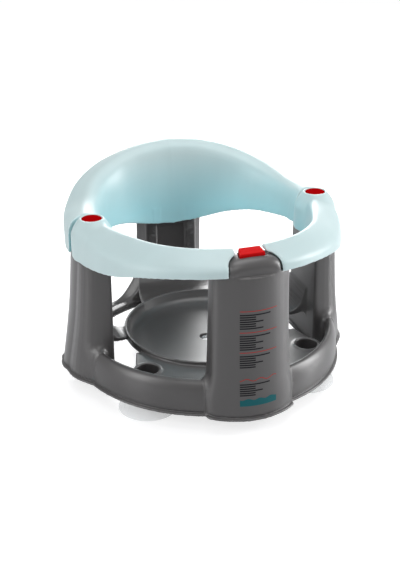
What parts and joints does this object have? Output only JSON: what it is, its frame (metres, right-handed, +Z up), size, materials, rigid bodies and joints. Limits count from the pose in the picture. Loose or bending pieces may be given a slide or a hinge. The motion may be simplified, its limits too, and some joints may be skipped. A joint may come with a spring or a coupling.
{
  "type": "baby bath seat",
  "caption": "Bath seat on suction cups: moulded base with columns and seat bowl, a raised backrest, and gates that swing open round the child after a latch is pressed",
  "frame": {"origin": "on the bath floor, under the middle of the seat's overall box", "axes": "+Z up; -Y is the front, where the gates meet over the latch column; -X is the left gate as seen from the front"},
  "size_m": [0.372, 0.372, 0.2515],
  "materials": {
    "grey_plastic": "satin moulded polypropylene",
    "aqua_plastic": "pale blue-green moulded polypropylene, satin, slightly translucent",
    "red_plastic": "glossy red moulded plastic",
    "white_plastic": "natural acetal",
    "steel": "plain stainless steel",
    "clear_soft": "clear soft vinyl"
  },
  "bodies": {
    "seat": {"base": "grey_plastic", "backrest": "aqua_plastic", "hinge_pin_left": "steel", "hinge_pin_right": "steel", "hinge_nut_left": "steel", "hinge_nut_right": "steel", "hinge_washer_left": "white_plastic", "hinge_washer_right": "white_plastic", "backrest_screw_left": "steel", "backrest_screw_right": "steel", "backrest_screw_rear_left": "steel", "backrest_screw_rear_right": "steel", "column_cover": "grey_plastic", "cover_screw_lower": "steel", "cover_screw_upper": "steel", "suction_cup_front_left": "clear_soft", "suction_cup_front_right": "clear_soft", "suction_cup_rear": "clear_soft", "suction_cup_centre": "clear_soft"},
    "left_gate": {"gate_left": "aqua_plastic", "hinge_cap_left": "red_plastic"},
    "right_gate": {"gate_right": "aqua_plastic", "hinge_cap_right": "red_plastic"},
    "latch": {"latch_button": "red_plastic", "latch_yoke": "white_plastic", "latch_spring": "steel"}
  },
  "joints": [
    {"name": "gate_left_swing", "type": "hinge", "parent": "seat", "child": "left_gate", "pos_m": [-0.1436, 0, 0.18], "axis": [0, 0, 1], "range_deg": [-50, 0]},
    {"name": "gate_right_swing", "type": "hinge", "parent": "seat", "child": "right_gate", "pos_m": [0.1436, 0, 0.18], "axis": [0, 0, 1], "range_deg": [0, 50]},
    {"name": "latch_press", "type": "slide", "parent": "seat", "child": "latch", "axis": [0, 0, -1], "range_m": [0, 0.004], "stiffness_N_per_m": 400, "springref_m": -0.004, "deforming": ["latch_spring"]}
  ]
}
